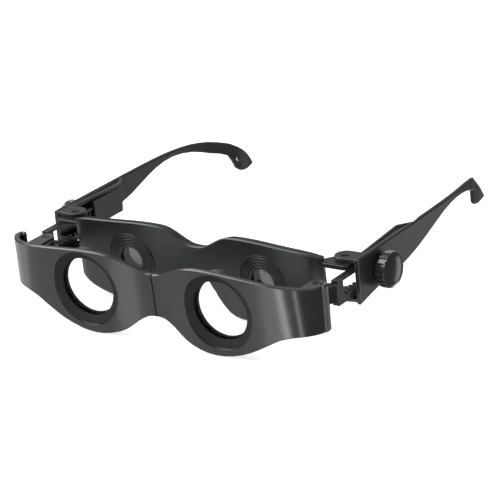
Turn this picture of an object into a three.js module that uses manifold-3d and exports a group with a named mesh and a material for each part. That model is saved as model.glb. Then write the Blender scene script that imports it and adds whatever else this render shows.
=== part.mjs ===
// Hands-free binocular glasses for fishing: a front frame with two objective lenses that slides on two
// racks away from a rear frame with two eyepieces, and two temples that fold at the rear frame.
// Millimetres. +X is the viewer's right, +Y runs from the objectives to the wearer, +Z is up.
// Until the last lines, the zero of the sizes is the mirror plane, the front edge and the top of a temple.
import * as THREE from "three";
import { mergeVertices } from "three/addons/utils/BufferGeometryUtils.js";
import Module from "manifold-3d";

// Fits
const fit = 0.3; // gap between two pieces that seat on each other
const overrun = 1; // how far a cut runs past the face that it opens

// Facets
const stepsPerRow = 2; // stations of a wall for each row of its table
const lensSides = 36;
const smallSides = 20;
const arcSteps = 10; // of each arc of a plate's outline
const flatness = 0.004; // faces that bend less than this are made one

// Widths, from the mirror plane
const templeOuter = 76; // outer face of a temple
const templePlate = 2; // thickness of a temple beside its rack
const hingeInset = 8.5;
const frontOverhang = 0.7; // how far the front frame is wider than the temples
const rearInset = 14.5;
const flangeInset = 6.5;

// Hinges: the two rear pivots, and the two front pivots that meet them when the glasses are closed
const hingeX = templeOuter - hingeInset;
const hingeY = 4.2;
const travel = 21.2; // how far the front frame slides back
const pinRadius = 1.6;

// Both frames lean: their faces run back by this much for each millimetre down, and the lenses stand
// square to them. The lean of the front frame fades out along its wings.
const lean = 0.0647;
const leanFadeShare = 0.36;

// Front frame
const frontHalfWidth = templeOuter + frontOverhang;
const frontReach = 39; // from the temple's front edge forward to the crown of the front frame
const frontSweep = 15.1; // how far back the wings come from that crown, up to the hooks
const frontTop = 2.9; // crown of the top edge above the top of the temples
const frontHeight = 36.8; // from that crown down to the lowest point of a lobe
const frontWall = 2.4;
const edgeChamfer = 0.45;
const hookRadius = 2.1;
const hookBore = 0.8;
const seamWidth = 0.5;
const seamDepth = 0.5;
// Half of the front frame from its middle to a hook: width, set-back, top edge and bottom edge
const frontShares = [
  [0, 0.225, 0.195, 0.705],
  [0.052, 0.205, 0.178, 0.715],
  [0.117, 0.159, 0.117, 0.788],
  [0.196, 0.083, 0.052, 0.907],
  [0.287, 0.013, 0.006, 0.972],
  [0.391, 0, 0, 1],
  [0.495, 0.02, 0.015, 0.976],
  [0.6, 0.046, 0.034, 0.906],
  [0.704, 0.09, 0.056, 0.795],
  [0.782, 0.15, 0.074, 0.71],
  [0.86, 0.27, 0.088, 0.668],
  [0.913, 0.4, 0.098, 0.655],
  [0.951, 0.54, 0.102, 0.645],
  [0.981, 0.73, 0.105, 0.638],
  [1, 1, 0.107, 0.634],
];

// Objective lenses
const eyeSpacing = 65.6; // between the two optical axes
const opticDrop = 14.7; // optical axes below the top of the temples
const objectiveRadius = 14;
const objectiveEdge = 1.4;
const objectiveBulge = 0.5;
const openingRadius = 12.75;
const countersinkRadius = 16.25;
const countersinkDepth = 1; // from the face of the front frame back to the start of the cone
const openingSetback = 2.5; // from that face back to the end of the cone
const openingLip = 0.7;
const barrelWall = 1.9;
const barrelLength = 6.5; // from that face to the back of the barrel
const retainerLength = 0.9;
const retainerWall = 1.6;

// Lugs of the front frame, which hold the front ends of the racks
const lugRadius = 3.4;
const lugThickness = 1.6;
const lugTopDrop = 4.3; // top of the upper lug below the top of the temples
const lugBottomDrop = 15.1; // underside of the lower lug

// Rear frame
const rearHalfWidth = templeOuter - rearInset;
const rearReach = 6; // from the temple's front edge forward to the rear frame's face
const rearSweep = 2.2;
const rearTop = 3.3;
const rearHeight = 36.6;
const rearDepth = 5.6;
const rearFall = 1; // how far the shell narrows at its top and at its bottom over that depth
const rearWall = 2.2;
const rearShares = [
  [0, 0.45, 0.186, 0.5],
  [0.065, 0.45, 0.175, 0.527],
  [0.146, 0.4, 0.107, 0.779],
  [0.228, 0.3, 0.03, 0.943],
  [0.309, 0.18, 0.002, 0.992],
  [0.455, 0.05, 0, 1],
  [0.585, 0, 0.011, 0.997],
  [0.715, 0, 0.026, 0.981],
  [0.846, 0.1, 0.039, 0.932],
  [0.943, 0.38, 0.06, 0.861],
  [1, 1, 0.085, 0.801],
];

// Eyepieces
const ringRadii = [10.5, 9.3, 8, 6.8]; // fine grooves round each eyepiece
const ringWidth = 0.6;
const ringDepth = 0.4;
const eyePadRadius = 11.3;
const eyePadRise = 0.2; // how far the grooved pad stands out of the rear frame's face
const eyeDrop = 13.6; // centres of the eyepieces below the top of the temples
const eyepieceRadius = 6;
const eyepieceEdge = 1.6;
const eyepieceHollow = 0.4;
const eyepieceBossLength = 5;
const eyeRingWall = 1.1;

// Ears of the rear frame and of the temples
const rearEarRadius = 4.7;
const rearEarFront = 3.6;
const earArcShare = 0.8; // of the half circle round its pin, before it runs into the shell
const rearEarTopDrop = 1.9;
const rearEarThickness = 1.8;
const lowerEarTopDrop = 15.5;
const lowerEarThickness = 1.4;
const templeEarRadius = 4.45;
const templeEarThickness = 1.35;
const roofDrop = 0.25; // the ears and the roof lie this far below the top edge of a temple

// Nose saddle
const saddleShare = 0.15; // of the rear frame's width, at its bridge
const saddleThickness = 2.6;
const saddleDepth = 9;

// Temples
const templeLength = 125;
const templeInset = 14.2; // how far the tip curls inward from that face
const templeHeight = 19.4;
const templePlateInner = templeOuter - templePlate;
const housingEnd = 46.5;
const armWall = 2.2;
const holeRadius = 1.3;
const holeBack = 115.6;
const holeDrop = 13.9;
// Temple from its front edge to its tip: length, inward curl, top edge and bottom edge
const templeShares = [
  [0, 0, 0, 0.985],
  [0.12, 0.012, 0, 0.853],
  [0.264, 0.03, 0, 0.75],
  [0.36, 0.036, 0, 0.613],
  [0.464, 0.05, 0, 0.402],
  [0.56, 0.082, 0, 0.215],
  [0.656, 0.148, 0.01, 0.142],
  [0.752, 0.297, 0.045, 0.225],
  [0.832, 0.5, 0.137, 0.41],
  [0.896, 0.79, 0.273, 0.57],
  [0.92, 0.905, 0.36, 0.93],
  [0.948, 0.98, 0.5, 1.035],
  [0.976, 1, 0.69, 1.03],
  [1, 1, 0.93, 0.98],
];

// Housing on each temple, in which the rack slides
const flangeInner = templeOuter - flangeInset;
const flangeStart = 8.6;
const flangeTaper = 2.6; // how much narrower the roof is at its front end
const flangeThickness = 1.5;
const flangeSlant = 6.6;
const grooveEdge = 1; // ledge left round the groove in the roof
const grooveDepth = 0.7;
const coverStart = 19.8;
const coverFloorStart = 12;
const coverFloorEnd = 27;
const coverWaistDrop = 12.9; // lower edge of the cover behind its floor
const coverWall = 0.8;
const coverFloorThickness = 1.1;

// Racks and pinions
const rackWidth = 3.1;
const rackTopDrop = 4.6;
const rackHeight = 10.6;
const rackBar = 1.2;
const rackFrontWall = 3.85;
const rackBackWall = 2;
const toothModule = 0.85;
const pinionTeeth = 6;
const toothAddendum = 0.7;
const toothDedendum = 1;
const toothShare = 0.36; // thickness of a tooth as a share of the pitch
const flankAngle = 20; // degrees
const neckArcShare = 0.8; // of a half circle, where the round of the rack's knuckle starts
const pinionY = 16.6;

// Knobs
const knobRadius = 7.6;
const knobRibs = 20;
const knobRibDepth = 0.6;
const knobDrum = 3.2;
const knobRim = 0.4;
const knobDome = 1.7;
const knobBore = 3.8;
const washerRadius = 5.2;
const washerThickness = 1.4;
const shaftRadius = 1.5;
// Where a rib starts to rise, is full and starts to fall again, along its step of the rim
const ribShares = [0.3, 0.45, 0.85];

const wasm = await Module();
wasm.setup();

const blackGloss = { color: 0x17181a, roughness: 0.32, metalness: 0 };
const blackSatin = { color: 0x1b1c1e, roughness: 0.45, metalness: 0 };
const blackRubber = { color: 0x141414, roughness: 0.8, metalness: 0 };
const glass = { color: 0xdfe8ea, roughness: 0.03, metalness: 0, transparent: true, opacity: 0.35 };
const steel = { color: 0x8a8c8f, roughness: 0.3, metalness: 1 };

const object = new THREE.Group();

function solid(geometry) {
  const plain = new THREE.BufferGeometry().setAttribute("position", geometry.getAttribute("position"));
  if (geometry.index) plain.setIndex(geometry.index);
  const merged = mergeVertices(plain, 1e-4);
  return new wasm.Manifold(
    new wasm.Mesh({
      numProp: 3,
      vertProperties: new Float32Array(merged.getAttribute("position").array),
      triVerts: new Uint32Array(merged.index.array),
    }),
  );
}

function geometryOf(manifold) {
  const mesh = manifold.simplify(flatness).getMesh();
  const positions = new Float32Array(mesh.numVert * 3);
  for (let i = 0; i < mesh.numVert; i++) {
    positions.set(mesh.vertProperties.subarray(i * mesh.numProp, i * mesh.numProp + 3), i * 3);
  }
  const geometry = new THREE.BufferGeometry()
    .setAttribute("position", new THREE.BufferAttribute(positions, 3))
    .setIndex(new THREE.BufferAttribute(new Uint32Array(mesh.triVerts), 1));
  geometry.computeVertexNormals();
  return geometry;
}

// A mirrored copy, for the left side of a piece that is drawn on the right.
function mirrored(geometry) {
  const copy = geometry.clone().scale(-1, 1, 1);
  const index = copy.index.array;
  for (let i = 0; i < index.length; i += 3) {
    [index[i + 1], index[i + 2]] = [index[i + 2], index[i + 1]];
  }
  copy.computeVertexNormals();
  return copy;
}

function add(name, shape, finish) {
  const geometry = shape.isBufferGeometry ? shape : geometryOf(shape);
  const mesh = new THREE.Mesh(geometry, new THREE.MeshStandardMaterial(finish));
  mesh.name = name;
  object.add(mesh);
}

function addPair(name, shape, finish) {
  const right = shape.isBufferGeometry ? shape : geometryOf(shape);
  add(name + "_right", right, finish);
  add(name + "_left", mirrored(right), finish);
}

// An upright plate: an outline in plan, from one height to another.
function plate(outline, bottom, top) {
  const geometry = new THREE.ExtrudeGeometry(outline, {
    depth: top - bottom,
    bevelEnabled: false,
    curveSegments: arcSteps,
  });
  return solid(geometry.translate(0, 0, bottom));
}

// A slab that stands on the side of a temple: an outline of length and height, from one X to another.
function slab(outline, inner, outer) {
  const geometry = new THREE.ExtrudeGeometry(outline, { depth: outer - inner, bevelEnabled: false });
  geometry.rotateY(Math.PI / 2).rotateX(Math.PI / 2);
  return solid(geometry.translate(inner, 0, 0));
}

function outlineOf(points) {
  return new THREE.Shape(points.map(([a, b]) => new THREE.Vector2(a, b)));
}

// A round solid about the axis of a lens, square to the leaning frame, from a profile of radius and
// place along that axis. The place is counted from the given point of the frame's face.
function round(profile, [x, y, z]) {
  const points = profile.map(([radius, along]) => new THREE.Vector2(radius, along));
  return solid(new THREE.LatheGeometry(points, lensSides).rotateX(Math.atan(lean)).translate(x, y, z));
}

// A round solid about an axis along X, from a profile of radius and place along X.
function turned(profile, y, z, sides = smallSides) {
  const points = profile.map(([radius, along]) => new THREE.Vector2(radius, -along)).reverse();
  const geometry = new THREE.LatheGeometry(points, sides).rotateZ(Math.PI / 2);
  return solid(geometry).translate([0, y, z]);
}

// An upright round pin or bore.
function upright(radius, x, y, bottom, top, sides = smallSides) {
  const geometry = new THREE.CylinderGeometry(radius, radius, top - bottom, sides).rotateX(Math.PI / 2);
  return solid(geometry).translate([x, y, (top + bottom) / 2]);
}

// A closed skin through a row of rings of points, with flat ends.
function skin(rings) {
  const count = rings[0].length;
  const positions = rings.flat(2);
  const index = [];
  for (let i = 0; i + 1 < rings.length; i++) {
    for (let j = 0; j < count; j++) {
      const k = (j + 1) % count;
      const [a, b, c, d] = [i * count + j, i * count + k, (i + 1) * count + j, (i + 1) * count + k];
      index.push(a, b, c, b, d, c);
    }
  }
  const last = (rings.length - 1) * count;
  for (let j = 1; j + 1 < count; j++) {
    index.push(0, j + 1, j);
    index.push(last, last + j, last + j + 1);
  }
  const geometry = new THREE.BufferGeometry();
  geometry.setAttribute("position", new THREE.Float32BufferAttribute(positions, 3));
  geometry.setIndex(index);
  return solid(geometry);
}

// Smooth values between the rows of a table, read by a number from 0 to 1 along it.
function smooth(rows) {
  const steps = rows.map((row, i) => i);
  const curve = new THREE.CubicInterpolant(steps, rows.flat(), rows[0].length);
  return (t) => Array.from(curve.evaluate(t * (rows.length - 1)));
}

// A wall that follows a line in plan. Each station holds x, y, the top and the bottom of the outer face,
// the lean and, where it differs, the thickness there. The other face lies one wall to the left of the
// line's run and is lower by the fall, and all long edges are chamfered.
function wallAlong(stations, wall, fall = 0) {
  const rings = stations.map(([x, y, top, bottom, leaning, own], i) => {
    const before = stations[Math.max(i - 1, 0)];
    const after = stations[Math.min(i + 1, stations.length - 1)];
    const run = Math.hypot(after[0] - before[0], after[1] - before[1]);
    const out = [(after[1] - before[1]) / run, -(after[0] - before[0]) / run];
    const depth = own ?? wall;
    const at = (inward, z) => [x - out[0] * inward, y - out[1] * inward - leaning * z, z];
    return [
      at(0, top - edgeChamfer),
      at(edgeChamfer, top),
      at(depth - edgeChamfer, top - fall),
      at(depth, top - fall - edgeChamfer),
      at(depth, bottom + fall + edgeChamfer),
      at(depth - edgeChamfer, bottom + fall),
      at(edgeChamfer, bottom),
      at(0, bottom + edgeChamfer),
    ].reverse();
  });
  return skin(rings);
}

// Front frame: a wavy wall with a hooked wing at each end, a barrel behind each lens, and lugs for the racks
const frontLine = smooth(frontShares);
const frontCrown = -frontReach;

function frontStation(t) {
  const [width, back, top, bottom] = frontLine(Math.abs(t));
  return [
    Math.sign(t) * width * frontHalfWidth,
    frontCrown + back * frontSweep,
    frontTop - top * frontHeight,
    frontTop - bottom * frontHeight,
    lean * Math.min((1 - Math.abs(t)) / leanFadeShare, 1),
  ];
}

// Where the front frame's outer face lies, at a distance from the mirror plane and a height.
function frontFace(x, z) {
  let [low, high] = [0, 1];
  for (let i = 0; i < 40; i++) {
    const middle = (low + high) / 2;
    if (frontStation(middle)[0] < x) low = middle;
    else high = middle;
  }
  const [, y, , , leaning] = frontStation(low);
  return y - leaning * z;
}

const bothSides = [1, -1];
const opticX = eyeSpacing / 2;
const objectiveFaces = bothSides.map((side) => [side * opticX, frontFace(opticX, -opticDrop), -opticDrop]);
const seatRadius = objectiveRadius + fit;
const barrelRadius = seatRadius + barrelWall;
const seatDepth = openingSetback + openingLip;
const frontPivotY = hingeY - travel;
const knuckleTop = -lugTopDrop - lugThickness - fit;
const knuckleBottom = -lugBottomDrop + lugThickness + fit;
const pinBore = pinRadius + fit;

const frontStations = [];
const frontSteps = stepsPerRow * (frontShares.length - 1);
for (let i = -frontSteps; i <= frontSteps; i++) frontStations.push(frontStation(i / frontSteps));
let frontFrame = wallAlong(frontStations, frontWall);

function hook() {
  const [x, y, top, bottom] = frontStation(1);
  const centre = x - hookRadius;
  const endRadius = (hookRadius - hookBore) / 2;
  const outline = new THREE.Shape();
  outline.moveTo(x, y - frontWall);
  outline.lineTo(x, y);
  outline.absarc(centre, y, hookRadius, 0, Math.PI, false);
  outline.absarc(centre - hookRadius + endRadius, y, endRadius, Math.PI, 2 * Math.PI, false);
  outline.absarc(centre, y, hookBore, Math.PI, 0, true);
  outline.lineTo(centre + hookBore, y - frontWall);
  const geometry = new THREE.ExtrudeGeometry(outline, {
    depth: top - bottom - 2 * edgeChamfer,
    bevelSize: edgeChamfer,
    bevelOffset: -edgeChamfer,
    bevelThickness: edgeChamfer,
    bevelSegments: 1,
    curveSegments: arcSteps,
  });
  return solid(geometry.translate(0, 0, bottom + edgeChamfer));
}

function lug(bottom) {
  const inner = hingeX - lugRadius;
  const outer = hingeX + lugRadius;
  const outline = new THREE.Shape();
  outline.moveTo(inner, frontFace(inner, bottom) + frontWall / 2);
  outline.lineTo(outer, frontFace(outer, bottom) + frontWall / 2);
  outline.lineTo(outer, frontPivotY);
  outline.absarc(hingeX, frontPivotY, lugRadius, 0, Math.PI, false);
  return plate(outline, bottom, bottom + lugThickness);
}

const upperLugBottom = -lugTopDrop - lugThickness;
const lowerLugBottom = -lugBottomDrop;
for (const piece of [hook(), lug(upperLugBottom), lug(lowerLugBottom)]) {
  frontFrame = frontFrame.add(piece).add(solid(mirrored(geometryOf(piece))));
}
const barrelStart = frontWall / 2 + fit;
const barrel = [
  [0, barrelStart],
  [barrelRadius, barrelStart],
  [barrelRadius, barrelLength],
  [0, barrelLength],
];
const lensCut = [
  [0, -openingSetback],
  [countersinkRadius, -openingSetback],
  [countersinkRadius, countersinkDepth],
  [openingRadius, openingSetback],
  [openingRadius, seatDepth],
  [seatRadius, seatDepth],
  [seatRadius, barrelLength + overrun],
  [0, barrelLength + overrun],
];
for (const face of objectiveFaces) {
  frontFrame = frontFrame.add(round(barrel, face)).subtract(round(lensCut, face));
}
for (const side of bothSides) {
  const bore = upright(pinBore, side * hingeX, frontPivotY, lowerLugBottom - overrun, overrun);
  frontFrame = frontFrame.subtract(bore);
}

// The seam down the middle of its face
const seamFront = frontStation(0)[1];
const seamOutline = outlineOf([
  [-seamWidth / 2, seamFront - overrun],
  [seamWidth / 2, seamFront - overrun],
  [seamWidth / 2, seamFront],
  [0, seamFront + seamDepth],
  [-seamWidth / 2, seamFront],
]);
const seam = new THREE.ExtrudeGeometry(seamOutline, { depth: frontHeight, bevelEnabled: false });
seam.translate(0, 0, frontTop - frontHeight);
seam.applyMatrix4(new THREE.Matrix4().makeShear(0, 0, 0, 0, 0, -lean));
frontFrame = frontFrame.subtract(solid(seam));
add("front_frame", frontFrame, blackGloss);

// Objective lenses, each held in its barrel by a ring
const lensFront = seatDepth + fit;
const lensBack = lensFront + objectiveEdge;

// The profile of a lens, curved inside its ring.
function bulgedLens(radius, front, back, bulge, rim) {
  const arcs = 3;
  const clear = radius - rim - fit;
  const profile = [];
  for (let i = 0; i <= arcs; i++) {
    const share = i / arcs;
    profile.push([clear * share, front - bulge * (1 - share * share)]);
  }
  profile.push([radius, front], [radius, back]);
  for (let i = arcs; i >= 0; i--) {
    const share = i / arcs;
    profile.push([clear * share, back + bulge * (1 - share * share)]);
  }
  return profile;
}

// The profile of a plain ring.
function ring(inner, outer, front, back) {
  return [
    [inner, front],
    [outer, front],
    [outer, back],
    [inner, back],
    [inner, front],
  ];
}

const objectiveLens = bulgedLens(objectiveRadius, lensFront, lensBack, objectiveBulge, retainerWall);
addPair("objective_lens", round(objectiveLens, objectiveFaces[0]), glass);
const retainerInner = objectiveRadius - retainerWall;
const retainerFront = lensBack + fit;
const objectiveRing = ring(retainerInner, objectiveRadius, retainerFront, retainerFront + retainerLength);
addPair("objective_retainer", round(objectiveRing, objectiveFaces[0]), blackSatin);

// Front pivot pins: one short pin in each lug
addPair("front_pivot_pin_upper", upright(pinRadius, hingeX, frontPivotY, upperLugBottom, -lugTopDrop), steel);
const lowerLugTop = lowerLugBottom + lugThickness;
addPair("front_pivot_pin_lower", upright(pinRadius, hingeX, frontPivotY, lowerLugBottom, lowerLugTop), steel);

// Rear frame: a deep wavy shell, open at the back, with a grooved pad round each eyepiece and two ears a side
const rearLine = smooth(rearShares);

function rearStation(t, margin = 0) {
  const [width, back, top, bottom] = rearLine(Math.abs(t));
  const reach = rearHalfWidth - margin;
  return [
    Math.sign(t) * width * reach,
    back * rearSweep - rearReach + margin,
    rearTop - top * rearHeight - margin,
    rearTop - bottom * rearHeight + margin,
    lean,
  ];
}

const rearStations = [];
const rearPocket = [];
const rearSteps = stepsPerRow * (rearShares.length - 1);
for (let i = -rearSteps; i <= rearSteps; i++) {
  rearStations.push(rearStation(i / rearSteps));
  rearPocket.push(rearStation(i / rearSteps, rearWall));
}
const rearBack = rearDepth - rearReach;
let rearFrame = wallAlong(rearStations, rearDepth, rearFall);
rearFrame = rearFrame.subtract(wallAlong(rearPocket, rearDepth + overrun, rearFall));

function rearEar(bottom, top) {
  const outline = new THREE.Shape();
  const outer = hingeX + rearEarRadius;
  const root = rearHalfWidth - rearWall;
  const corner = rearEarRadius / 3;
  outline.moveTo(root, -rearEarFront);
  outline.lineTo(outer - corner, -rearEarFront);
  outline.absarc(outer - corner, corner - rearEarFront, corner, -Math.PI / 2, 0, false);
  outline.lineTo(outer, hingeY);
  outline.absarc(hingeX, hingeY, rearEarRadius, 0, Math.PI * earArcShare, false);
  outline.lineTo(root, rearBack + rearWall / 2);
  return plate(outline, bottom, top);
}

const rearEarBottom = -rearEarTopDrop - rearEarThickness;
const lowerEarBottom = -lowerEarTopDrop - lowerEarThickness;
const rightEars = rearEar(rearEarBottom, -rearEarTopDrop).add(rearEar(lowerEarBottom, -lowerEarTopDrop));
rearFrame = rearFrame.add(rightEars).add(solid(mirrored(geometryOf(rightEars))));
for (const side of bothSides) {
  const bore = upright(pinBore, side * hingeX, hingeY, lowerEarBottom - overrun, overrun);
  rearFrame = rearFrame.subtract(bore);
}

// The grooved pads of the eyepieces, with the bosses behind them
const eyepieceFaces = bothSides.map((side) => [side * opticX, lean * eyeDrop - rearReach, -eyeDrop]);
const eyeSeatRadius = eyepieceRadius + fit;
const eyeOpening = eyepieceRadius - eyeRingWall / 2;
const eyeBoss = [
  [0, -eyePadRise],
  [eyePadRadius, -eyePadRise],
  [eyePadRadius, rearWall + fit],
  [eyeSeatRadius + barrelWall, rearWall + barrelWall],
  [eyeSeatRadius + barrelWall, eyepieceBossLength],
  [0, eyepieceBossLength],
];
const eyeCut = [
  [0, -overrun],
  [eyeOpening, -overrun],
  [eyeOpening, openingLip],
  [eyeSeatRadius, openingLip],
  [eyeSeatRadius, eyepieceBossLength + overrun],
  [0, eyepieceBossLength + overrun],
];
for (const face of eyepieceFaces) {
  rearFrame = rearFrame.add(round(eyeBoss, face)).subtract(round(eyeCut, face));
  for (const radius of ringRadii) {
    const ringGroove = [
      [radius - ringWidth, -eyePadRise - ringDepth],
      [radius + ringWidth, -eyePadRise - ringDepth],
      [radius, ringDepth - eyePadRise],
      [radius - ringWidth, -eyePadRise - ringDepth],
    ];
    rearFrame = rearFrame.subtract(round(ringGroove, face));
  }
}
add("rear_frame", rearFrame, blackSatin);

// Eyepiece lenses: hollow ground on both faces, each held by a ring from the wearer's side
const eyeFront = openingLip + fit;
const eyeBack = eyeFront + eyepieceEdge;
const eyeLens = bulgedLens(eyepieceRadius, eyeFront, eyeBack, -eyepieceHollow, eyeRingWall);
addPair("eyepiece_lens", round(eyeLens, eyepieceFaces[0]), glass);
const eyeRing = ring(eyepieceRadius - eyeRingWall, eyepieceRadius, eyeBack + fit, eyepieceBossLength);
addPair("eyepiece_retainer", round(eyeRing, eyepieceFaces[0]), blackSatin);

// Nose saddle: one soft strip under the bridge of the rear frame
const saddleStations = [];
const saddleSteps = Math.round(rearSteps * saddleShare);
for (let i = -saddleSteps; i <= saddleSteps; i++) {
  const [x, y, , bottom] = rearStation(i / rearSteps);
  saddleStations.push([x, y + rearWall / 2, bottom - fit, bottom - fit - saddleThickness, lean]);
}
add("nose_saddle", wallAlong(saddleStations, saddleDepth), blackRubber);

// Hinge pins
addPair("hinge_pin_upper", upright(pinRadius, hingeX, hingeY, rearEarBottom, 0), steel);
const templeEarBottom = lowerEarBottom - fit - templeEarThickness;
addPair("hinge_pin_lower", upright(pinRadius, hingeX, hingeY, templeEarBottom, -lowerEarTopDrop), steel);

// Temple: a plate that runs out into a curved arm, with two ears and the roof of the rack's housing
const templeLine = smooth(templeShares);
const templeStations = [];
const templeSteps = stepsPerRow * (templeShares.length - 1);
for (let i = 0; i <= templeSteps; i++) {
  const [along, curl, top, bottom] = templeLine(i / templeSteps);
  const x = templeOuter - curl * templeInset;
  const y = fit + along * (templeLength - fit);
  const wall = y < housingEnd + overrun ? x - templePlateInner : armWall;
  templeStations.push([x, y, -top * templeHeight, -bottom * templeHeight, 0, wall]);
}
let temple = wallAlong(templeStations, armWall);

const templeRoot = templePlateInner + templePlate / 3; // how deep its ears and roof run into it

function templeEar(bottom, top) {
  const outline = new THREE.Shape();
  outline.moveTo(templeRoot, fit + edgeChamfer);
  outline.lineTo(templeRoot, hingeY + templeEarRadius);
  outline.lineTo(hingeX, hingeY + templeEarRadius);
  outline.absarc(hingeX, hingeY, templeEarRadius, Math.PI / 2, (3 * Math.PI) / 2, false);
  outline.lineTo(hingeX, hingeY - templeEarRadius);
  return plate(outline, bottom, top);
}

const roofEnd = housingEnd - flangeSlant;
const roof = outlineOf([
  [flangeInner + flangeTaper, flangeStart - fit],
  [templeRoot, flangeStart - fit],
  [templeRoot, housingEnd],
  [flangeInner, roofEnd],
]);
const grooveOuter = templePlateInner - fit;
const groove = outlineOf([
  [flangeInner + flangeTaper + grooveEdge, flangeStart + grooveEdge],
  [grooveOuter, flangeStart + grooveEdge],
  [grooveOuter, housingEnd - grooveEdge - flangeThickness],
  [flangeInner + grooveEdge, roofEnd - grooveEdge],
]);
temple = temple
  .add(templeEar(-roofDrop - templeEarThickness, -roofDrop))
  .add(templeEar(templeEarBottom, templeEarBottom + templeEarThickness))
  .add(plate(roof, -roofDrop - flangeThickness, -roofDrop))
  .subtract(plate(groove, -roofDrop - grooveDepth, overrun))
  .subtract(upright(pinBore, hingeX, hingeY, templeEarBottom - overrun, overrun));

// Rack: a long loop whose lower bar is toothed, with a neck and knuckle at its front end
const rackOuter = templePlateInner - fit;
const rackInner = rackOuter - rackWidth;
const rackTop = -rackTopDrop;
const rackBottom = rackTop - rackHeight;
const pitch = Math.PI * toothModule;
const pinionPitchRadius = (pinionTeeth * toothModule) / 2;
const pinionRadius = pinionPitchRadius + toothAddendum;
const slotTop = rackTop - rackBar;
const pinionZ = slotTop - fit - pinionRadius;
const pitchLine = pinionZ - pinionPitchRadius;
const toothTip = pitchLine + toothAddendum;
const toothRoot = pitchLine - toothDedendum;
const slotBack = pinionY + pinionRadius + fit;
const slotFront = slotBack - travel - 2 * (pinionRadius + fit);
const rackFrontY = slotFront - rackFrontWall;
const rackBack = slotBack + rackBackWall;
const flankLean = Math.tan(THREE.MathUtils.degToRad(flankAngle));

function rackOutline() {
  const outline = outlineOf([
    [rackFrontY, rackBottom],
    [rackBack, rackBottom],
    [rackBack, rackTop],
    [rackFrontY, rackTop],
  ]);
  const half = (pitch * toothShare) / 2;
  const slot = [
    [slotBack, slotTop],
    [slotFront, slotTop],
    [slotFront, toothRoot],
  ];
  const first = Math.ceil((slotFront - pinionY) / pitch);
  const last = Math.floor((slotBack - pinionY) / pitch);
  for (let i = first; i <= last; i++) {
    const middle = pinionY + i * pitch;
    const foot = half + toothDedendum * flankLean;
    const tip = half - toothAddendum * flankLean;
    if (middle - foot < slotFront || middle + foot > slotBack) continue;
    slot.push([middle - foot, toothRoot], [middle - tip, toothTip]);
    slot.push([middle + tip, toothTip], [middle + foot, toothRoot]);
  }
  slot.push([slotBack, toothRoot]);
  outline.holes.push(new THREE.Path(slot.map(([a, b]) => new THREE.Vector2(a, b))));
  return outline;
}

function rackNeck() {
  const outline = new THREE.Shape();
  const start = Math.PI * neckArcShare;
  outline.absarc(hingeX, frontPivotY, lugRadius - fit, start, start + Math.PI, false);
  outline.lineTo(rackOuter, rackFrontY - rackWidth / 3);
  outline.lineTo(rackOuter, rackFrontY + rackFrontWall / 2);
  outline.lineTo(rackInner, rackFrontY + rackFrontWall / 2);
  return plate(outline, knuckleBottom, knuckleTop).subtract(
    upright(pinBore, hingeX, frontPivotY, knuckleBottom - overrun, knuckleTop + overrun),
  );
}

addPair("rack", slab(rackOutline(), rackInner, rackOuter).add(rackNeck()), blackSatin);

// The temple's bores for the pinion's shaft and for a lanyard
const shaftBore = shaftRadius + fit;

// A straight bore along X.
function cross(radius, inner, outer, y, z) {
  const profile = [
    [0, inner],
    [radius, inner],
    [radius, outer],
    [0, outer],
  ];
  return turned(profile, y, z);
}

const tipX = templeOuter - templeInset;
temple = temple
  .subtract(cross(shaftBore, templePlateInner - overrun, templeOuter + overrun, pinionY, pinionZ))
  .subtract(cross(holeRadius, tipX - armWall - overrun, templeOuter, holeBack, -holeDrop));
addPair("temple", temple, blackSatin);

// Cover: the inner wall and the floor of the rack's housing
const coverTop = -roofDrop - flangeThickness - fit;
const coverFloorTop = rackBottom - fit;
const coverBottom = coverFloorTop - coverFloorThickness;
const coverSide = outlineOf([
  [coverStart, coverBottom],
  [coverFloorEnd, coverBottom],
  [coverFloorEnd + coverFloorThickness, -coverWaistDrop],
  [roofEnd - coverFloorThickness, -coverWaistDrop],
  [roofEnd, coverTop],
  [coverStart, coverTop],
]);
const coverFloor = outlineOf([
  [flangeInner, coverFloorStart],
  [templePlateInner - fit, coverFloorStart],
  [templePlateInner - fit, coverFloorEnd],
  [flangeInner, coverFloorEnd],
]);
const coverSlab = slab(coverSide, flangeInner, flangeInner + coverWall);
const cover = coverSlab.add(plate(coverFloor, coverBottom, coverFloorTop));
addPair("temple_cover", cover, blackSatin);

// Pinion: six teeth on a shaft that passes through the temple into the knob
const knobBase = templeOuter + washerThickness + 2 * fit;

function pinionOutline() {
  const outline = [];
  const root = pinionPitchRadius - toothDedendum;
  const half = (pitch * toothShare) / 2;
  for (let i = 0; i < pinionTeeth; i++) {
    const middle = -Math.PI / 2 + ((i + 0.5) * 2 * Math.PI) / pinionTeeth;
    const corners = [
      [root, -half],
      [pinionPitchRadius, -half],
      [pinionRadius, -half / 2],
      [pinionRadius, half / 2],
      [pinionPitchRadius, half],
      [root, half],
    ];
    for (const [radius, across] of corners) {
      const along = Math.sqrt(radius * radius - across * across);
      outline.push([
        along * Math.cos(middle) - across * Math.sin(middle),
        along * Math.sin(middle) + across * Math.cos(middle),
      ]);
    }
  }
  return outlineOf(outline);
}

const pinionBlank = slab(pinionOutline(), rackInner + fit, rackOuter - fit).translate([0, pinionY, pinionZ]);
const shaft = cross(shaftRadius, rackOuter - 2 * fit, knobBase + knobBore - fit, pinionY, pinionZ);
addPair("pinion", pinionBlank.add(shaft), blackSatin);
const washerBack = templeOuter + fit;
const washer = ring(shaftBore, washerRadius, washerBack, washerBack + washerThickness);
addPair("knob_washer", turned(washer, pinionY, pinionZ), blackRubber);

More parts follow.
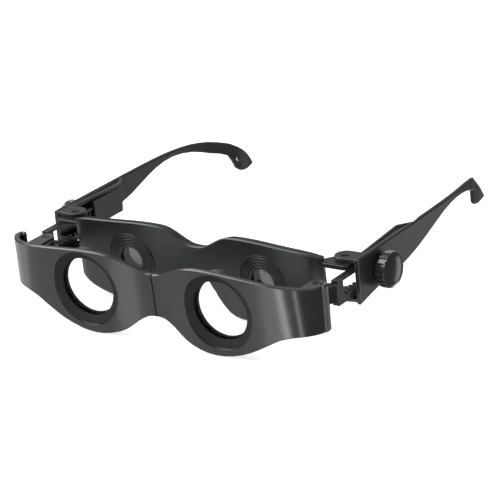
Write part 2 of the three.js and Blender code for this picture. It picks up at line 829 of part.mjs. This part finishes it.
// Knob: a ribbed drum with a smooth domed cap
function knobOutline() {
  const outline = [];
  const step = (2 * Math.PI) / knobRibs;
  const valley = knobRadius - knobRibDepth;
  const [rise, full, fall] = ribShares;
  for (let i = 0; i < knobRibs; i++) {
    for (const [share, radius] of [[0, valley], [rise, valley], [full, knobRadius], [fall, knobRadius]]) {
      const angle = (i + share) * step;
      outline.push([radius * Math.cos(angle), radius * Math.sin(angle)]);
    }
  }
  return outlineOf(outline);
}

const drumEnd = knobBase + knobDrum;
const domeRadius = knobRadius - knobRibDepth / 2;
const domeProfile = [
  [0, drumEnd],
  [domeRadius, drumEnd],
];
const domeSteps = 4;
for (let i = 0; i < domeSteps; i++) {
  const angle = (i / domeSteps) * (Math.PI / 2);
  domeProfile.push([domeRadius * Math.cos(angle), drumEnd + knobRim + knobDome * Math.sin(angle)]);
}
domeProfile.push([0, drumEnd + knobRim + knobDome]);
const knob = slab(knobOutline(), knobBase, drumEnd + knobRim / 2)
  .translate([0, pinionY, pinionZ])
  .add(turned(domeProfile, pinionY, pinionZ, lensSides))
  .subtract(cross(shaftBore, knobBase - overrun, knobBase + knobBore, pinionY, pinionZ));
addPair("knob", knob, blackSatin);

// The part's own frame: the middle of the glasses in plan, at the height of their lowest point
const box = new THREE.Box3().setFromObject(object);
object.position.set(0, -(box.min.y + box.max.y) / 2, -box.min.z);

export default object;
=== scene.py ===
import math

import bpy
from mathutils import Matrix, Vector


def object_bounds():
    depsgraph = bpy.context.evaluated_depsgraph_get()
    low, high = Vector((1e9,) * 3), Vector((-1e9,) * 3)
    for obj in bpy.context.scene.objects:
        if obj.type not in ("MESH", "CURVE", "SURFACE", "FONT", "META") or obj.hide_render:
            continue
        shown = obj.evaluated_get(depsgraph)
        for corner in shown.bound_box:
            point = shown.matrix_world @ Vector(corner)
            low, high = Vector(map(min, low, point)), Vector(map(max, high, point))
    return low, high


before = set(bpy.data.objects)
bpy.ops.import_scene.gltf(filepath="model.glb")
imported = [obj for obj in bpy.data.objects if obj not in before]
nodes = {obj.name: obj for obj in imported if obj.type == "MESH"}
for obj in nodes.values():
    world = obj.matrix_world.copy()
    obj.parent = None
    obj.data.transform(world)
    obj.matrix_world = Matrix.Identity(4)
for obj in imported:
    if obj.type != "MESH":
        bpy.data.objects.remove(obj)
cad_low, cad_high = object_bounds()

# Camera: a long lens that looks down on the objective side from the viewer's right, rolled a
# little, as a product shot of small eyewear is taken.
camera_data = bpy.data.cameras.new("camera")
camera_data.sensor_width = 36
camera_data.lens = 192.29
camera_data.clip_start = 0.05
camera_data.clip_end = 20
camera = bpy.data.objects.new("camera", camera_data)
turn, down, roll = 35.77, 21.17, 5.19
camera.matrix_world = (
    Matrix.Translation((0.612736, -0.859622, 0.420565))
    @ Matrix.Rotation(math.radians(turn), 4, "Z")
    @ Matrix.Rotation(math.radians(90 - down), 4, "X")
    @ Matrix.Rotation(math.radians(-roll), 4, "Z")
)
bpy.context.scene.collection.objects.link(camera)
bpy.context.scene.camera = camera
bpy.context.scene.view_settings.view_transform = "Standard"


# Front frame: one glossy black moulding with hooked wings, held by its lugs on the two racks. Its skin
# has the fine grain of a polished mould; its long edges are broken by a small radius and painted pale
# as a highlight.
class Socket:
    """An output of a material's node tree, with arithmetic written as Python expressions."""

    def __init__(self, tree, output):
        self.tree = tree
        self.output = output

    def node(self, kind, settings, *values):
        """Makes a node; each value is the number or the name of an input with what it takes."""
        made = self.tree.nodes.new(kind)
        for name, value in settings.items():
            setattr(made, name, value)
        for key, value in values:
            if isinstance(value, Socket):
                self.tree.links.new(value.output, made.inputs[key])
            else:
                made.inputs[key].default_value = value
        return made

    def math(self, operation, a, b=0.0):
        made = self.node("ShaderNodeMath", {"operation": operation}, (0, a), (1, b))
        return Socket(self.tree, made.outputs[0])

    def absolute(self):
        return self.math("ABSOLUTE", self)

    def root(self):
        return self.math("SQRT", self)

    def __add__(self, other):
        return self.math("ADD", self, other)

    def __mul__(self, other):
        return self.math("MULTIPLY", self, other)

    def __sub__(self, other):
        return self.math("SUBTRACT", self, other)

    def __rsub__(self, other):
        return self.math("SUBTRACT", other, self)

    __radd__ = __add__

    def ramp(self, low, high):
        """0 below the low value, 1 above the high one, and smooth between them."""
        made = self.node(
            "ShaderNodeMapRange", {"interpolation_type": "SMOOTHSTEP"}, (0, self), (1, low), (2, high)
        )
        return Socket(self.tree, made.outputs[0])


class Finish(Socket):
    """A material that starts from one Principled shader and the place of each point."""

    def __init__(self, name, **constants):
        self.material = bpy.data.materials.new(name)
        self.material.use_nodes = True
        tree = self.material.node_tree
        self.shader = next(n for n in tree.nodes if n.type == "BSDF_PRINCIPLED")
        for key, value in constants.items():
            self.shader.inputs[key.replace("_", " ")].default_value = value
        super().__init__(tree, tree.nodes.new("ShaderNodeTexCoord").outputs["Object"])

    def noise(self, size, detail, stretch=(1, 1, 1)):
        place = self.node("ShaderNodeMapping", {}, (0, self), (3, stretch))
        scaled = Socket(self.tree, place.outputs[0])
        made = self.node("ShaderNodeTexNoise", {}, (0, scaled), ("Scale", 1 / size), ("Detail", detail))
        return Socket(self.tree, made.outputs[0])

    def specks(self, size, share):
        """Small round specks of a size, the share of the cells that hold one being given."""
        cells = self.node("ShaderNodeTexVoronoi", {}, (0, self), ("Scale", 1 / size))
        near = 1.0 - Socket(self.tree, cells.outputs["Distance"]).ramp(0.08, 0.22)
        split = self.node("ShaderNodeSeparateColor", {}, (0, Socket(self.tree, cells.outputs["Color"])))
        return near * Socket(self.tree, split.outputs[0]).ramp(1 - share, 1 - share * 0.8)

    def axis(self, index):
        split = self.node("ShaderNodeSeparateXYZ", {}, (0, self))
        return Socket(self.tree, split.outputs[index])

    def blend(self, factor, low, high):
        colours = [c if isinstance(c, Socket) else (*c, 1) for c in (low, high)]
        made = self.node(
            "ShaderNodeMix", {"data_type": "RGBA"}, (0, factor), (6, colours[0]), (7, colours[1])
        )
        return Socket(self.tree, made.outputs[2])

    def feed(self, name, value):
        self.tree.links.new(value.output, self.shader.inputs[name])

    def from_axis(self, lens):
        """The distance from the axis of a lens, taken along the face of the frame around it."""
        corners = [Vector(corner) for corner in lens.bound_box]
        centre = sum(corners, Vector()) / 8
        across = self.axis(0).absolute() - abs(centre.x)
        above = self.axis(2) - centre.z
        return (across * across + above * above).root()

    def edges(self, radius):
        """The normal of a piece whose edges have a radius, and a mask that is 1 along those edges."""
        made = self.node("ShaderNodeBevel", {"samples": 8}, ("Radius", radius))
        rounded = Socket(self.tree, made.outputs[0])
        flat = Socket(self.tree, self.node("ShaderNodeNewGeometry", {}).outputs["Normal"])
        turn = self.node("ShaderNodeVectorMath", {"operation": "DOT_PRODUCT"}, (0, rounded), (1, flat))
        return rounded, 1.0 - Socket(self.tree, turn.outputs["Value"]).ramp(0.8, 0.98)

    def relief(self, height, depth, *normal):
        values = [("Normal", rounded) for rounded in normal]
        bump = self.node("ShaderNodeBump", {}, ("Height", height), ("Distance", depth), *values)
        self.feed("Normal", Socket(self.tree, bump.outputs[0]))


def moulded(name, colour, roughness, grain, depth, edge, coat=0.0, dust=0.1):
    """Black plastic with the grain of its mould, faint rub marks across Z, a little dust, and a painted
    highlight along its edges that the rub marks vary.
    """
    finish = Finish(name, Coat_Weight=coat, Coat_Roughness=0.1, IOR=1.5)
    cloud = finish.noise(0.02, 3.0)
    rub = finish.noise(0.0035, 5.0, (1, 1, 6))
    pale = tuple(c * 1.12 for c in colour)
    # A pale colour, sixteen times the plastic's own, painted along the edges as a highlight.
    bright = tuple(c * 16 for c in colour)
    dust_grey = (0.08, 0.08, 0.08)
    skin = finish.blend(cloud.ramp(0.4, 0.7), colour, pale)
    specks = finish.specks(0.0012, dust)
    rounded, painted_edge_highlight = finish.edges(edge)
    finish.skin = finish.blend(specks * 0.4, skin, dust_grey)
    # The edges are painted pale as a highlight, unevenly along the rub marks; finish.colour carries this
    # painted highlight and finish.skin does not.
    finish.colour = finish.blend(painted_edge_highlight * (rub * 0.8 + 0.3), finish.skin, bright)
    finish.gloss = cloud * 0.03 + rub * 0.03 + specks * 0.2 + (roughness - 0.03)
    finish.feed("Base Color", finish.colour)
    finish.feed("Roughness", finish.gloss)
    finish.relief(finish.noise(grain, 2.0), depth, rounded)
    return finish


def smooth_facets(obj):
    """Shades the facets of a round face as one face, and keeps the sharper edges as they are."""
    sharp_degrees = 32
    group = bpy.data.node_groups.new(obj.name + "_shading", "GeometryNodeTree")
    group.interface.new_socket("Geometry", in_out="INPUT", socket_type="NodeSocketGeometry")
    group.interface.new_socket("Geometry", in_out="OUTPUT", socket_type="NodeSocketGeometry")
    start = group.nodes.new("NodeGroupInput")
    end = group.nodes.new("NodeGroupOutput")
    weld = group.nodes.new("GeometryNodeMergeByDistance")
    weld.inputs["Distance"].default_value = 1e-6
    faces = group.nodes.new("GeometryNodeSetShadeSmooth")
    edges = group.nodes.new("GeometryNodeSetShadeSmooth")
    edges.domain = "EDGE"
    edges.inputs["Shade Smooth"].default_value = False
    angle = group.nodes.new("GeometryNodeInputMeshEdgeAngle")
    sharp = group.nodes.new("FunctionNodeCompare")
    sharp.inputs["B"].default_value = math.radians(sharp_degrees)
    group.links.new(start.outputs[0], weld.inputs[0])
    group.links.new(weld.outputs[0], faces.inputs[0])
    group.links.new(faces.outputs[0], edges.inputs[0])
    group.links.new(angle.outputs["Unsigned Angle"], sharp.inputs["A"])
    group.links.new(sharp.outputs[0], edges.inputs["Selection"])
    group.links.new(edges.outputs[0], end.inputs[0])
    obj.modifiers.new("shading", "NODES").node_group = group


def dress(name, material):
    obj = nodes[name]
    obj.data.materials.clear()
    obj.data.materials.append(material)
    smooth_facets(obj)


front_coat = 0.2
front_plastic = moulded(
    "front_plastic", (0.014, 0.014, 0.015), 0.21, 0.0006, 0.000005, 0.0005, front_coat, 0.03
)
# The cones before the lenses are made matte and painted dark as shade, and the bridge's seam is painted
# dark as shade.
from_lens = front_plastic.from_axis(nodes["objective_lens_right"])
cone_radius = 0.0162
cone_fade = 0.0003
rim_radius = 0.017
rim_fade = 0.0004
seam_reach = 0.0006
front_shade_black = (0.004, 0.004, 0.004)
cone = 1.0 - from_lens.ramp(cone_radius - cone_fade, cone_radius)
seam = 1.0 - front_plastic.axis(0).absolute().ramp(seam_reach / 2, seam_reach)
matte_and_shade = cone.math("MAXIMUM", cone, seam)
# Near the lens the painted edge highlight is left off; outside the rim the edges keep it.
outside = from_lens.ramp(rim_radius - rim_fade, rim_radius)
edge_highlighted = front_plastic.blend(outside, front_plastic.skin, front_plastic.colour)
# Painted shade: the cones and the seam take a near-black colour, and lose their gloss and coat.
front_plastic.feed("Base Color", front_plastic.blend(matte_and_shade, edge_highlighted, front_shade_black))
front_plastic.feed("Roughness", front_plastic.gloss + matte_and_shade * 0.55)
front_plastic.feed("Coat Weight", front_coat - matte_and_shade * front_coat)
dress("front_frame", front_plastic.material)


# Objective lenses: coated glass, each held in its barrel by a plain black ring with a matte face.
# Their index is far below that of real glass. With 1.5 the rear frame looked smaller and paler
# through them than it does in the photo.
def lens_glass(name, index, tint, coat):
    finish = Finish(name, IOR=index, Transmission_Weight=1.0, Coat_Roughness=0.02, Coat_Weight=coat)
    finish.shader.inputs["Base Color"].default_value = (*tint, 1)
    dust = finish.specks(0.0022, 0.05)
    finish.feed("Roughness", dust * 0.15)
    return finish.material


objective_glass = lens_glass("objective_glass", 1.05, (0.97, 0.98, 0.98), 0.15)
ring_plastic = moulded("ring_plastic", (0.012, 0.012, 0.012), 0.6, 0.0004, 0.00002, 0.0001)
for side in ("right", "left"):
    dress("objective_lens_" + side, objective_glass)
    dress("objective_retainer_" + side, ring_plastic.material)


# Front pivot pins: short dark steel pins pressed into the lugs, with fine streaks along their axis.
def steel(name):
    finish = Finish(name, Metallic=1.0)
    dark, bright = (0.05, 0.05, 0.053), (0.1, 0.1, 0.104)
    streaks = finish.noise(0.0003, 2.0, (1, 1, 0.05))
    finish.feed("Base Color", finish.blend(streaks, dark, bright))
    finish.feed("Roughness", streaks * 0.15 + 0.3)
    finish.relief(streaks, 0.00001)
    return finish.material


pin_steel = steel("pin_steel")
for side in ("right", "left"):
    for level in ("upper", "lower"):
        dress(f"front_pivot_pin_{level}_{side}", pin_steel)


# Rear frame: a deep satin shell that carries the eyepieces, with fine grooves round them that are
# painted dark as shade. The glass of the eyepieces is tinted dark, as it looks in the photo.
rear_plastic = moulded("rear_plastic", (0.011, 0.011, 0.012), 0.34, 0.0005, 0.000008, 0.0005, 0.0, 0.03)
from_eye = rear_plastic.from_axis(nodes["eyepiece_lens_right"])
groove_radii = (0.0105, 0.0093, 0.008, 0.0068)
groove_reach = 0.0004
pad_radius = 0.0122
groove_shade_black = (0.003, 0.003, 0.003)
bands = [(from_eye - radius).absolute().ramp(groove_reach / 2, groove_reach) for radius in groove_radii]
groove_shade = sum(1.0 - band for band in bands)
# Inside the pad round the eyepiece the painted edge highlight is left off; outside it the edges keep it.
outside = from_eye.ramp(pad_radius - rim_fade, pad_radius)
edge_highlighted = rear_plastic.blend(outside, rear_plastic.skin, rear_plastic.colour)
# Painted shade in the grooves: they take a near-black colour and a rougher finish.
rear_plastic.feed("Base Color", rear_plastic.blend(groove_shade, edge_highlighted, groove_shade_black))
rear_plastic.feed("Roughness", rear_plastic.gloss + groove_shade * 0.4)
dress("rear_frame", rear_plastic.material)
eyepiece_glass = lens_glass("eyepiece_glass", 1.7, (0.08, 0.082, 0.084), 0.2)
for side in ("right", "left"):
    dress("eyepiece_lens_" + side, eyepiece_glass)
    dress("eyepiece_retainer_" + side, ring_plastic.material)


# Nose saddle: soft black rubber, a little dusty, stuck under the bridge.
rubber = moulded("rubber", (0.02, 0.02, 0.02), 0.75, 0.0003, 0.00003, 0.0004, 0.0, 0.2)
dress("nose_saddle", rubber.material)


# Temples and the covers of their rack housings: satin black nylon with the fine texture of a
# sparked mould, turning on the steel hinge pins of the rear frame.
temple_plastic = moulded("temple_plastic", (0.015, 0.015, 0.016), 0.36, 0.0005, 0.00001, 0.0005, 0.0, 0.06)
for side in ("right", "left"):
    dress("temple_" + side, temple_plastic.material)
    dress("temple_cover_" + side, temple_plastic.material)
    dress("hinge_pin_upper_" + side, pin_steel)
    dress("hinge_pin_lower_" + side, pin_steel)


# Racks and pinions: plain moulded nylon, painted pale along the edges of the teeth as a highlight.
# Each rack slides in its temple's housing, and each pinion turns with its knob.
rack_plastic = moulded("rack_plastic", (0.012, 0.012, 0.0125), 0.36, 0.0004, 0.00001, 0.0002)
for side in ("right", "left"):
    dress("rack_" + side, rack_plastic.material)
    dress("pinion_" + side, rack_plastic.material)


# Knobs: harder glossy plastic with ribs for the fingers, on a rubber washer that gives the drag
# which holds the focus.
knob_plastic = moulded("knob_plastic", (0.015, 0.015, 0.016), 0.22, 0.0005, 0.000006, 0.0002, 0.3, 0.05)
for side in ("right", "left"):
    dress("knob_" + side, knob_plastic.material)
    dress("knob_washer_" + side, rubber.material)


# Studio: a white floor and a white room, with soft boxes that draw the bands on the wings. Some of
# the boxes stand below the floor, so it is left out of mirrors and shadows.
floor_mesh = bpy.data.meshes.new("floor")
reach = 6
corners = [(-reach, -reach, 0), (reach, -reach, 0), (reach, reach, 0), (-reach, reach, 0)]
floor_mesh.from_pydata(corners, [], [(0, 1, 2, 3)])
floor = bpy.data.objects.new("floor", floor_mesh)
floor_gap = 0.0002
floor.location.z = cad_low.z - floor_gap
floor.visible_glossy = False
floor.visible_shadow = False
bpy.context.scene.collection.objects.link(floor)
paper = Finish("paper", Roughness=0.9)
paper.shader.inputs["Base Color"].default_value = (0.5, 0.5, 0.5, 1)
paper.shader.inputs["Emission Color"].default_value = (1, 1, 1, 1)
paper.shader.inputs["Emission Strength"].default_value = 0.75
floor_mesh.materials.append(paper.material)

world = bpy.data.worlds.new("room")
bpy.context.scene.world = world
world.use_nodes = True
tree = world.node_tree
background = tree.nodes["Background"]
background.inputs["Color"].default_value = (1, 1, 1, 1)
rays = tree.nodes.new("ShaderNodeLightPath")
seen = Socket(tree, rays.outputs["Is Camera Ray"]) + Socket(tree, rays.outputs["Is Transmission Ray"])
mirrored = Socket(tree, rays.outputs["Is Glossy Ray"])
room_level = 0.6
mirror_drop = 0.45
shown = seen.math("MINIMUM", seen, 1.0)
level = shown * (1 - room_level) + room_level - mirrored * mirror_drop
tree.links.new(level.output, background.inputs["Strength"])


def soft_box(name, azimuth, elevation, distance, width, height, radiance):
    """A lamp that faces the glasses; its azimuth runs from the front to the viewer's right."""
    light = bpy.data.lights.new(name, "AREA")
    light.shape = "RECTANGLE"
    light.size = width
    light.size_y = height
    light.energy = radiance * math.pi * width * height
    lamp = bpy.data.objects.new(name, light)
    lift = 0.02
    across = distance * math.cos(math.radians(elevation))
    lamp.location = (
        across * math.sin(math.radians(azimuth)),
        -across * math.cos(math.radians(azimuth)),
        distance * math.sin(math.radians(elevation)) + lift,
    )
    lamp.rotation_mode = "QUATERNION"
    lamp.rotation_quaternion = (-lamp.location).to_track_quat("-Z", "Y")
    lamp.visible_transmission = False
    bpy.context.scene.collection.objects.link(lamp)


soft_box("overhead", 40, 62, 1.2, 1.0, 0.6, 1.0)
soft_box("left_high", -66, 46, 1.2, 1.4, 0.8, 6.5)
soft_box("front_left", -48, -27, 1.2, 1.27, 0.7, 0.5)
soft_box("front_middle", -13, -27, 1.2, 0.3, 0.9, 1.8)
soft_box("front_band", -2, -27, 1.2, 0.11, 0.9, 7.5)
soft_box("side_band", 17, -27, 1.2, 0.07, 0.9, 6.0)
soft_box("left_wall", -118, -25, 1.2, 2.1, 0.3, 0.95)
soft_box("behind", -144, 21, 1.2, 0.7, 0.5, 0.4)
soft_box("right_low", 142, -17, 0.41, 0.11, 0.22, 1.2)
soft_box("under_back", 175, -45, 0.6, 0.25, 0.2, 2.5)
